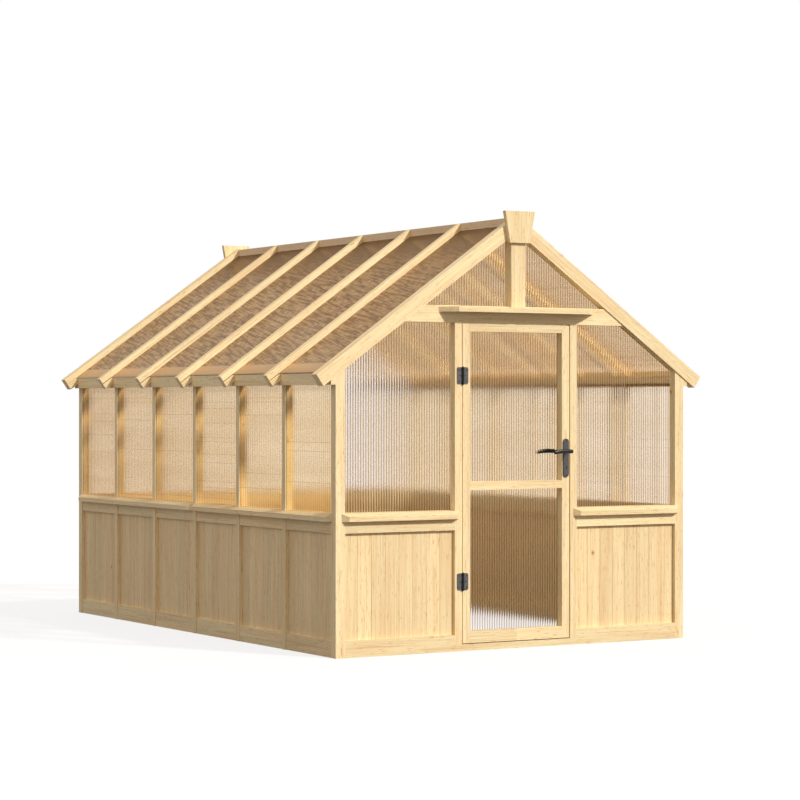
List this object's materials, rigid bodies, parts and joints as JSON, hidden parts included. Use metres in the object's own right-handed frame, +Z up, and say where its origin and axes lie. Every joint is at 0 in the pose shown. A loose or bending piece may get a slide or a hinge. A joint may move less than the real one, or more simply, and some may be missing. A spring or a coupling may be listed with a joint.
{
  "type": "timber garden sunroom",
  "caption": "Gable-roofed softwood garden sunroom with boarded lower walls, ribbed clear sheets above and over the roof, and an outward opening glazed door with a lever handle.",
  "frame": {"origin": "on the ground, at the middle of the building's plan", "axes": "+X to the right of someone facing the door, +Y from the door towards the rear gable, +Z up"},
  "size_m": [2.728, 3.785, 2.5954],
  "materials": {
    "softwood": "planed, bare",
    "boarding": "planed, bare",
    "clear_sheet": "ribbed, clear",
    "dark_steel": "satin"
  },
  "bodies": {
    "building": {"front_sole": "softwood", "rear_sole": "softwood", "side_soles": "softwood", "corner_posts": "softwood", "side_studs": "softwood", "rear_studs": "softwood", "door_jambs": "softwood", "front_rails": "softwood", "rear_rails": "softwood", "side_rails": "softwood", "front_boards": "boarding", "rear_boards": "boarding", "side_boards": "boarding", "front_sills": "softwood", "rear_sill": "softwood", "side_sills": "softwood", "front_windows": "clear_sheet", "rear_windows": "clear_sheet", "side_windows": "clear_sheet", "gable_windows": "clear_sheet", "wall_plates": "softwood", "eave_beams": "softwood", "tie_beams": "softwood", "king_posts": "softwood", "ridge_board": "softwood", "rafters": "softwood", "battens": "softwood", "left_gable_rafters": "softwood", "right_gable_rafters": "softwood", "roof_sheets": "clear_sheet", "keystones": "softwood", "door_canopy": "softwood", "frame_hinge_leaves": "dark_steel"},
    "door": {"door_stiles": "softwood", "door_rails": "softwood", "door_sheets": "clear_sheet", "door_hinge_leaves": "dark_steel", "handle_plates": "dark_steel"},
    "lever": {"door_lever": "dark_steel"}
  },
  "joints": [
    {"name": "door_hinge", "type": "hinge", "parent": "building", "child": "door", "pos_m": [-0.3825, -1.8375, 0], "axis": [0, 0, -1], "range_deg": [0, 100]},
    {"name": "lever_turn", "type": "hinge", "parent": "door", "child": "lever", "pos_m": [0.351, -1.83, 1.166], "axis": [0, -1, 0], "range_deg": [0, 40], "stiffness_Nm_per_rad": 1.5, "springref_deg": -20.05}
  ]
}
